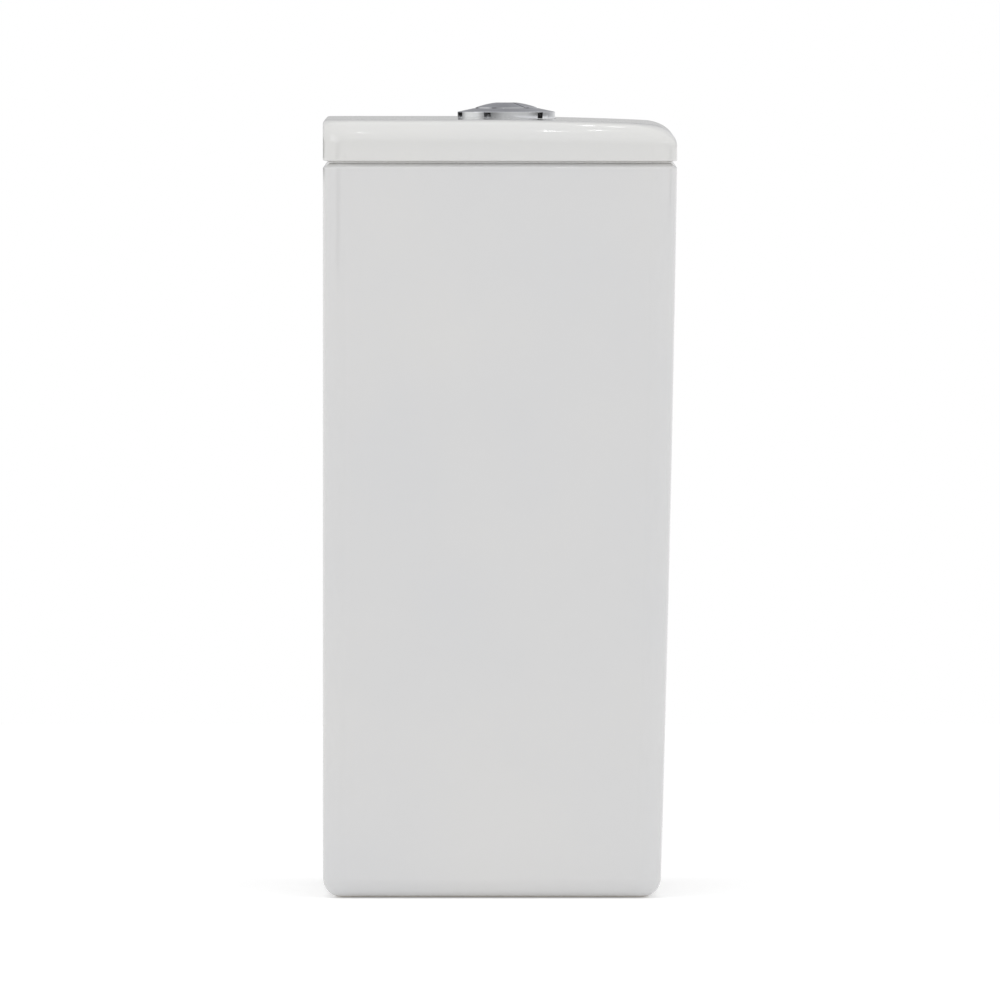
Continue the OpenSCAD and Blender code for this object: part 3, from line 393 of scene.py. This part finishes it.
def soften(piece, edge, sharp_angle):
    """Welds the solid's seams, rounds its edges a little and shades it smooth up to a sharp angle."""
    mesh = piece.data
    if "custom_normal" in mesh.attributes:
        mesh.attributes.remove(mesh.attributes["custom_normal"])
    for face in mesh.polygons:
        face.use_smooth = True
    weld = piece.modifiers.new("join_seams", "WELD")
    weld.merge_threshold = 0.002 * MM
    if edge:
        bevel = piece.modifiers.new("soft_edges", "BEVEL")
        bevel.width = edge
        bevel.segments = 2
        bevel.limit_method = "ANGLE"
        bevel.angle_limit = math.radians(sharp_angle)
    split = piece.modifiers.new("hard_edges", "EDGE_SPLIT")
    split.split_angle = math.radians(sharp_angle)
    split.use_edge_sharp = False
    weight = piece.modifiers.new("face_shading", "WEIGHTED_NORMAL")
    weight.keep_sharp = True


def dress(material, names, edge=0.0, sharp_angle=35):
    """Gives solids their finish and soft edges."""
    for name in names:
        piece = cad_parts[name]
        piece.data.materials.clear()
        piece.data.materials.append(material)
        soften(piece, edge, sharp_angle)


dress(tank_glaze, ["cistern_body"], 0.0, 40)
dress(chrome, ["button_ring"], 0.12 * MM, 25)
dress(chrome, ["full_flush_button", "half_flush_button"], 0.25 * MM, 40)
dress(white_plastic, [
    "full_push_rod", "outlet_base", "full_flush_lever", "overflow_tube",
    "full_lift_rod", "fill_shank", "inlet_back_nut", "inlet_strainer", "fill_riser", "fill_valve_head",
    "float_link_rod"], 0.3 * MM)
dress(grey_plastic, [
    "flush_tower", "lever_bridge", "seal_carrier", "fill_head_cap", "float_arm"], 0.3 * MM)
dress(blue_plastic, [
    "half_push_rod", "half_flush_lever", "half_lift_rod", "half_flush_float", "fill_float"], 0.3 * MM)
dress(rubber, [
    "ring_gasket", "base_gasket", "coupling_gasket", "flush_seal", "bolt_cone_seals", "inlet_seal",
    "valve_diaphragm"], 0.3 * MM)
dress(zinc_steel, ["lever_pins", "coupling_bolts", "bolt_washers", "arm_pin"], 0.2 * MM)
dress(turned_brass, ["wing_nuts"], 0.3 * MM)
dress(white_plastic, ["ring_clamp_nut", "outlet_back_nut"])
dress(grey_plastic, ["riser_lock_ring"])


# China lid

def lid_plan(inset, back_inset, radius):
    """Points round the lid's plan, with the same count at every inset."""
    side = lid_high.x - inset
    front = lid_low.y + inset
    back = lid_high.y - back_inset
    corners = [(side - radius, back - radius, 0), (radius - side, back - radius, 90),
               (radius - side, front + radius, 180), (side - radius, front + radius, 270)]
    points = []
    for index, (x, y, start) in enumerate(corners):
        for step in range(11):
            angle = math.radians(start + 9 * step)
            points.append((x + radius * math.cos(angle), y + radius * math.sin(angle)))
        next_x, next_y, next_start = corners[(index + 1) % 4]
        angle = math.radians(next_start)
        end = (next_x + radius * math.cos(angle), next_y + radius * math.sin(angle))
        begin = points[-1]
        count = 64 if index % 2 == 0 else 28
        for step in range(1, count):
            share = step / count
            points.append((begin[0] + (end[0] - begin[0]) * share, begin[1] + (end[1] - begin[1]) * share))
    return points


def lid_drop(y):
    """How far the lid's top has dropped at a place between the wall and the front."""
    start = lid_high.y - lid_level
    end = lid_low.y + shoulder_d
    return 0.0 if y > start else lid_sag * ((start - y) / (start - end)) ** 2


def lid_height(y, up):
    """Height of a point on the lid's outer form."""
    return joint_z + up - lid_drop(y) * up / lid_t


def plan_ring(inset, back_inset, radius, height):
    """Level ring round the lid's plan."""
    return [(x, y, height) for x, y in lid_plan(inset, back_inset, radius)]


def outer_ring(inset, back_inset, radius, up):
    """Ring on the lid's outer form."""
    return [(x, y, lid_height(y, up)) for x, y in lid_plan(inset, back_inset, radius)]


def round_ring(radius, height):
    """Ring round the button's hole, its points on the bearings of the plan's points."""
    points = []
    for x, y in lid_plan(shoulder_d, lid_back_r, lid_corner_r):
        angle = math.atan2(y - button_y, x - button_x)
        points.append((button_x + radius * math.cos(angle), button_y + radius * math.sin(angle), height))
    return points


def between(first, second, share):
    """Ring part of the way from one ring to another, lying on the lid's top."""
    ring = []
    for a, b in zip(first, second):
        x = a[0] + (b[0] - a[0]) * share
        y = a[1] + (b[1] - a[1]) * share
        ring.append((x, y, lid_height(y, lid_t)))
    return ring


def make_lid():
    """Hollow lid in one skin: hollow, lip, joint face, soft edges, top and the button's seat."""
    hollow_in = lip_in + lip_t
    ceiling_rings, top_rings = 6, 20
    rings = [round_ring(hole_r, hollow_z)]
    ceiling = plan_ring(hollow_in + cove_r, hollow_in + cove_r, lip_corner_r, hollow_z)
    for step in range(1, ceiling_rings):
        share = step / ceiling_rings
        rings.append([tuple(p + (q - p) * share for p, q in zip(a, b)) for a, b in zip(rings[0], ceiling)])
    rings.append(ceiling)
    for step in range(1, 7):
        angle = math.radians(15 * step)
        inset = hollow_in + cove_r * (1 - math.sin(angle))
        rings.append(plan_ring(inset, inset, lip_corner_r, hollow_z - cove_r * (1 - math.cos(angle))))
    for step in range(7):
        angle = math.radians(15 * step)
        inset = hollow_in - lip_round_r * (1 - math.cos(angle))
        rings.append(plan_ring(inset, inset, lip_corner_r, lid_low.z + lip_round_r * (1 - math.sin(angle))))
    for step in range(7):
        angle = math.radians(15 * step)
        inset = lip_in + lip_round_r * (1 - math.sin(angle))
        rings.append(plan_ring(inset, inset, lip_corner_r, lid_low.z + lip_round_r * (1 - math.cos(angle))))
    rings.append(plan_ring(lip_in, lip_in, lip_corner_r, rest_z - edge_room))
    rings.append(plan_ring(lip_in, lip_in, lip_corner_r, rest_z))
    rings.append(plan_ring(lip_in - joint_room, lip_in - joint_room, lip_corner_r, rest_z))
    for past, up in ((joint_room, 0.0), (0.04 * MM, 0.0), (0.02 * MM, 0.03 * MM)):
        rings.append(plan_ring(lid_edge_d + past, lid_edge_d + past, lid_corner_r - lid_edge_d, rest_z + up))
    for step in range(7):
        angle = math.radians(lid_edge_turn * step / 6)
        inset = lid_edge_d * math.cos(angle)
        rings.append(outer_ring(inset, inset, lid_corner_r - inset, lid_edge_h * math.sin(angle)))
    under, above = lid_edge_h * math.sin(angle), lid_edge_h + lid_edge_soft
    for step in range(1, 6):
        left = 1 - step / 5
        rise = under + (above - under) * (1 - left) ** 2
        rings.append(outer_ring(inset * left ** 2, inset * left ** 2, lid_corner_r, rise))
    low = lid_t - shoulder_h
    for step in range(1, 4):
        rings.append(outer_ring(0, 0, lid_corner_r, above + (low - above) * step / 4))
    for step in range(25):
        angle = math.radians(3.75 * step)
        up = low + shoulder_h * math.sin(angle)
        over = max(up - lid_t + lid_back_r, 0.0)
        back_inset = lid_back_r - math.sqrt(max(lid_back_r ** 2 - over ** 2, 0.0))
        rings.append(outer_ring(shoulder_d * (1 - math.cos(angle)), back_inset, lid_corner_r, up))
    edge = rings[-1]
    seat_top = lid_height(button_y, lid_t)
    rim = round_ring(seat_r + seat_rim, seat_top)
    for step in range(1, top_rings + 1):
        rings.append(between(edge, rim, step / top_rings))
    for radius, height in (
            (seat_r + seat_bevel, seat_top - seat_bevel), (seat_r, seat_top - edge_room),
            (seat_r, ring_seat_z), (seat_r - edge_room, ring_seat_z), (hole_r + edge_room, ring_seat_z),
            (hole_r, ring_seat_z - edge_room), (hole_r, hollow_z + edge_room)):
        rings.append(round_ring(radius, height))
    count = len(rings[0])
    points = [point for ring in rings for point in ring]
    faces = []
    for index in range(len(rings)):
        after = (index + 1) % len(rings)
        for step in range(count):
            turn = (step + 1) % count
            faces.append((index * count + step, index * count + turn,
                          after * count + turn, after * count + step))
    lid = new_piece("china_lid", points, faces, lid_glaze)
    for face in lid.data.polygons:
        face.use_smooth = True
    weight = lid.modifiers.new("face_shading", "WEIGHTED_NORMAL")
    weight.keep_sharp = False
    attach(lid, "lid")
    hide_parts("cistern_lid")


make_lid()


# Screw threads on the barrel, the inlet tail and the bolts

def make_thread(name, body, material, centre, radius, low, high, pitch, depth):
    """Helical ridge on a round stem, thinning out at both ends."""
    steps = 36
    run_out = 0.4
    root_in, root_half, crest_half = 0.12 * depth, 0.42 * pitch, 0.1 * pitch
    turns = (high - low - pitch) / pitch
    count = max(int(turns * steps), steps)
    points = []
    for step in range(count + 1):
        share = step / count
        angle = 2 * math.pi * turns * share
        height = low + pitch / 2 + (high - low - pitch) * share
        crest = depth * min(1.0, share * turns / run_out, (1 - share) * turns / run_out)
        for out, up in ((-root_in, -root_half), (crest, -crest_half),
                        (crest, crest_half), (-root_in, root_half)):
            reach = radius + out
            points.append((centre[0] + reach * math.cos(angle), centre[1] + reach * math.sin(angle),
                           height + up))
    faces = [(0, 1, 2, 3)]
    for step in range(count):
        for side in range(4):
            a = step * 4 + side
            b = step * 4 + (side + 1) % 4
            faces.append((a, a + 4, b + 4, b))
    last = count * 4
    faces.append((last + 3, last + 2, last + 1, last))
    thread = new_piece(name, points, faces, material)
    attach(thread, body)


barrel_r = 18.6 * MM
inlet_r = 10.4 * MM
bolt_r = 4 * MM
bolt_head_r = 8.5 * MM
bolts_y = (bolts_low.y + bolts_high.y) / 2
plain_end = 0.8 * MM
bolt_plain_end = 0.6 * MM
nut_room = 0.2 * MM
inlet_thread_h = 22 * MM
bolt_thread_h = 22.5 * MM
barrel_pitch, inlet_pitch, bolt_pitch = 2 * MM, 1.8 * MM, 1.25 * MM
wide_ridge, bolt_ridge = 0.45 * MM, 0.3 * MM
make_thread("barrel_thread", "lid", chrome, (button_x, button_y), barrel_r,
            ring_low.z + plain_end, clamp_low.z - nut_room, barrel_pitch, wide_ridge)
make_thread("inlet_thread", "cistern", white_plastic, (inlet_x, inlet_y), inlet_r,
            shank_low.z + plain_end, shank_low.z + inlet_thread_h, inlet_pitch, wide_ridge)
for side, x in (("left", bolts_low.x + bolt_head_r), ("right", bolts_high.x - bolt_head_r)):
    make_thread("bolt_thread_" + side, "cistern", zinc_steel, (x, bolts_y), bolt_r,
                bolts_low.z + bolt_plain_end, bolts_low.z + bolt_thread_h, bolt_pitch, bolt_ridge)


# Return springs

def make_spring(name, node):
    """Wound wire spring under a button, in place of the button's spring solid."""
    low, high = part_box(node)
    coil_r = (high.x - low.x) / 2 - wire_r
    middle = (low + high) / 2
    steps, sides = 32, 14
    count = spring_curls * steps
    rise = high.z - low.z - 2 * wire_r
    slope = rise / (spring_curls * 2 * math.pi * coil_r)
    points = []
    for step in range(count + 1):
        angle = 2 * math.pi * step / steps
        out = Vector((math.cos(angle), math.sin(angle), 0))
        up = Vector((math.sin(angle) * slope, -math.cos(angle) * slope, 1)).normalized()
        centre = Vector((middle.x, middle.y, low.z + wire_r + rise * step / count)) + out * coil_r
        for side in range(sides):
            turn = 2 * math.pi * side / sides
            points.append(centre + wire_r * (math.cos(turn) * out + math.sin(turn) * up))
    faces = [tuple(range(sides))]
    for step in range(count):
        for side in range(sides):
            a = step * sides + side
            b = step * sides + (side + 1) % sides
            faces.append((a, a + sides, b + sides, b))
    faces.append(tuple(range(count * sides + sides - 1, count * sides - 1, -1)))
    spring = new_piece(name, points, faces, zinc_steel)
    spring.data.polygons.foreach_set("use_smooth", [len(face) == 4 for face in faces])
    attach(spring, "lid")
    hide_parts(node)
    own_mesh(spring)


wire_r = 0.45 * MM
spring_curls = 6
make_spring("full_return_spring", "full_button_spring")
make_spring("half_return_spring", "half_button_spring")


# Floor, light and camera

plain_white = (1, 1, 1, 1)
floor_half = 4.0
floor_drop = 0.5 * MM
near_glow, far_glow = 0.34, 0.46
glow_from, glow_to = 0.8, 3.6
bounce_glow = 0.09
fill_glow = 0.625


def make_floor():
    """Pale floor that keeps the shadow, white to the camera and clear from below."""
    material, tree = empty_material("pale_floor")
    diffuse = put(tree, "ShaderNodeBsdfDiffuse", {"Color": (0.9, 0.9, 0.9, 1)})
    place_on = put(tree, "ShaderNodeTexCoord").outputs["Object"]
    away = put(tree, "ShaderNodeVectorMath", {0: place_on}, operation="LENGTH").outputs["Value"]
    glow = put(tree, "ShaderNodeEmission", {
        "Color": plain_white, "Strength": spread(tree, away, near_glow, far_glow, glow_from, glow_to)})
    path = put(tree, "ShaderNodeLightPath")
    lit = put(tree, "ShaderNodeAddShader", {0: diffuse.outputs[0], 1: glow.outputs[0]})
    seen = calc(tree, "MAXIMUM", path.outputs["Is Camera Ray"], path.outputs["Is Glossy Ray"])
    faint = put(tree, "ShaderNodeEmission", {"Color": plain_white, "Strength": bounce_glow})
    bounced = put(tree, "ShaderNodeAddShader", {0: diffuse.outputs[0], 1: faint.outputs[0]})
    shown = put(tree, "ShaderNodeMixShader", {0: seen, 1: bounced.outputs[0], 2: lit.outputs[0]})
    clear = put(tree, "ShaderNodeBsdfTransparent")
    under = put(tree, "ShaderNodeNewGeometry").outputs["Backfacing"]
    ended = put(tree, "ShaderNodeMixShader", {0: under, 1: shown.outputs[0], 2: clear.outputs[0]})
    out = put(tree, "ShaderNodeOutputMaterial")
    tree.links.new(ended.outputs[0], out.inputs["Surface"])
    corners = [(-floor_half, -floor_half, 0), (floor_half, -floor_half, 0),
               (floor_half, floor_half, 0), (-floor_half, floor_half, 0)]
    floor = new_piece("studio_floor", corners, [(0, 1, 2, 3)], material)
    floor.location.z = -floor_drop


def make_card(name, from_turn, to_turn, low, high, reach, tones, tint=(1.0, 1.0, 1.0)):
    """Curved studio card that only polished surfaces show, shaded along its turn from the camera's side."""
    points, faces, shades = [], [], []
    steps = 24
    for step in range(steps + 1):
        turn = math.radians(from_turn + (to_turn - from_turn) * step / steps)
        x = button_x - reach * math.cos(turn)
        y = button_y - reach * math.sin(turn)
        points += [(x, y, low), (x, y, high)]
        along = (len(tones) - 1) * step / steps
        first = min(int(along), len(tones) - 2)
        shade = tones[first] + (tones[first + 1] - tones[first]) * (along - first)
        shades += [shade, shade]
        if step < steps:
            at = 2 * step
            faces.append((at, at + 2, at + 3, at + 1))
    material, tree = empty_material(name)
    shown = put(tree, "ShaderNodeVertexColor", layer_name="shade")
    glow = put(tree, "ShaderNodeEmission", {"Color": shown.outputs["Color"], "Strength": 1.0})
    out = put(tree, "ShaderNodeOutputMaterial")
    tree.links.new(glow.outputs[0], out.inputs["Surface"])
    card = new_piece(name, points, faces, material)
    painted = card.data.color_attributes.new("shade", "FLOAT_COLOR", "POINT")
    for point, shade in zip(painted.data, shades):
        point.color = (shade * tint[0], shade * tint[1], shade * tint[2], 1.0)
    card.visible_camera = False
    card.visible_diffuse = False
    card.visible_shadow = False
    card.visible_transmission = False


def make_lamp(name, place_at, aim, width, height, power, mirrored):
    """Soft rectangular lamp aimed at a point, which polished surfaces show only if it is mirrored."""
    lamp = bpy.data.lights.new(name, "AREA")
    lamp.shape = "RECTANGLE"
    lamp.size = width
    lamp.size_y = height
    lamp.energy = power
    holder = bpy.data.objects.new(name, lamp)
    holder.location = place_at
    holder.rotation_euler = (Vector(aim) - Vector(place_at)).to_track_quat("-Z", "Y").to_euler()
    holder.visible_glossy = mirrored
    bpy.context.scene.collection.objects.link(holder)


def make_surround():
    """White to the camera and to polished surfaces, softer as a fill light."""
    world = bpy.data.worlds.new("studio")
    bpy.context.scene.world = world
    world.use_nodes = True
    tree = world.node_tree
    tree.nodes.clear()
    path = put(tree, "ShaderNodeLightPath")
    mirrored = calc(tree, "MAXIMUM", path.outputs["Is Glossy Ray"], path.outputs["Is Transmission Ray"])
    seen = calc(tree, "MAXIMUM", path.outputs["Is Camera Ray"], mirrored)
    fill = put(tree, "ShaderNodeBackground", {"Color": plain_white, "Strength": fill_glow})
    shown = put(tree, "ShaderNodeBackground", {"Color": plain_white, "Strength": 1.0})
    mixed = put(tree, "ShaderNodeMixShader", {0: seen, 1: fill.outputs[0], 2: shown.outputs[0]})
    out = put(tree, "ShaderNodeOutputWorld")
    tree.links.new(mixed.outputs[0], out.inputs["Surface"])


def make_camera():
    """Long lens square to the side, a little above the button, as the photograph was taken."""
    near_side = cad_low.x
    distance = 20.0
    aim_z, stand_z = 0.1906, 0.48
    picture_width = 479.3 * MM
    sensor = 36.0
    lens = bpy.data.cameras.new("side_camera")
    lens.sensor_width = sensor
    middle = Vector((near_side, 0.0, aim_z))
    stand = Vector((near_side - distance, 0.0, stand_z))
    lens.lens = sensor * (stand - middle).length / picture_width
    lens.clip_end = 3 * distance
    camera = bpy.data.objects.new("side_camera", lens)
    camera.location = stand
    camera.rotation_euler = (middle - stand).to_track_quat("-Z", "Y").to_euler()
    bpy.context.scene.collection.objects.link(camera)
    bpy.context.scene.camera = camera


make_floor()
make_surround()
make_camera()
warm = (1.0, 1.0, 0.97)
cool = (0.98, 0.985, 1.03)
black = [0.02, 0.02]
card_reach, flag_reach = 1.7, 1.6
card_low, card_mid, card_high = 0.355, 0.46, 1.9
flag_low, flag_high = 0.29, 0.43
make_card("camera_side_card", -37, 80, card_low, 1.1, card_reach, [0.25, 0.62, 0.75, 0.70, 0.25], warm)
make_card("front_side_flag", 80, 96, flag_low, flag_high, flag_reach, black)
make_card("front_side_card", 96, 160, card_low, card_mid, card_reach, [0.40, 0.60, 0.90])
make_card("far_low_card", 160, 198, card_low, card_mid, card_reach, [0.85, 0.60, 0.60])
make_card("far_side_flag", 198, 232, 0.334, 0.41, flag_reach, black)
make_card("wall_side_card", 232, 306, card_low, 0.6, card_reach, [0.4, 0.95, 1.0, 0.95, 0.4], warm)
make_card("wall_side_flag", 306, 323, flag_low, flag_high, flag_reach, black)
make_card("far_front_card", 134, 169, card_mid, card_high, card_reach, [0.66, 0.58], cool)
make_card("far_side_card", 169, 190, card_mid, card_high, card_reach, [0.58, 0.42, 0.36, 0.36, 0.46], cool)
make_card("far_wall_card", 190, 227, card_mid, card_high, card_reach, [0.46, 0.80], cool)
tank_middle = (0, 0, 0.2)
make_lamp("overhead_softbox", (-0.4, 0.0, 2.2), tank_middle, 1.6, 1.6, 7, False)
make_lamp("camera_softbox", (-2.2, 0.0, 1.5), tank_middle, 1.2, 1.2, 4, False)
make_lamp("front_softbox", (-0.7, -2.2, 1.2), tank_middle, 1.2, 1.2, 5, True)
make_lamp("wall_softbox", (-0.7, 2.2, 1.2), tank_middle, 1.2, 1.2, 5, True)

# Small lamps that glint on the near edge: place along it in mm, tilt in degrees, width in mm, power in W
glints = ((-31.5, 80, 5, 0.015), (-53.5, 124, 4, 0.0065), (-59.5, 93, 2, 0.012), (-69, 122, 9, 0.0045),
          (69, 66, 3, 0.011))
edge_x = lid_low.x + 7 * MM
edge_z = lid_high.z - 5 * MM
glint_reach = 0.45
glint_length = 60 * MM
for number, (along, tilt, wide, power) in enumerate(glints):
    lean = math.radians(tilt)
    at = (edge_x - glint_reach * math.cos(lean), along * MM, edge_z + glint_reach * math.sin(lean))
    aim = (edge_x, along * MM, edge_z)
    make_lamp(f"edge_lamp_{number + 1}", at, aim, wide * MM, glint_length, power, True)

bpy.context.scene.view_settings.view_transform = "Standard"
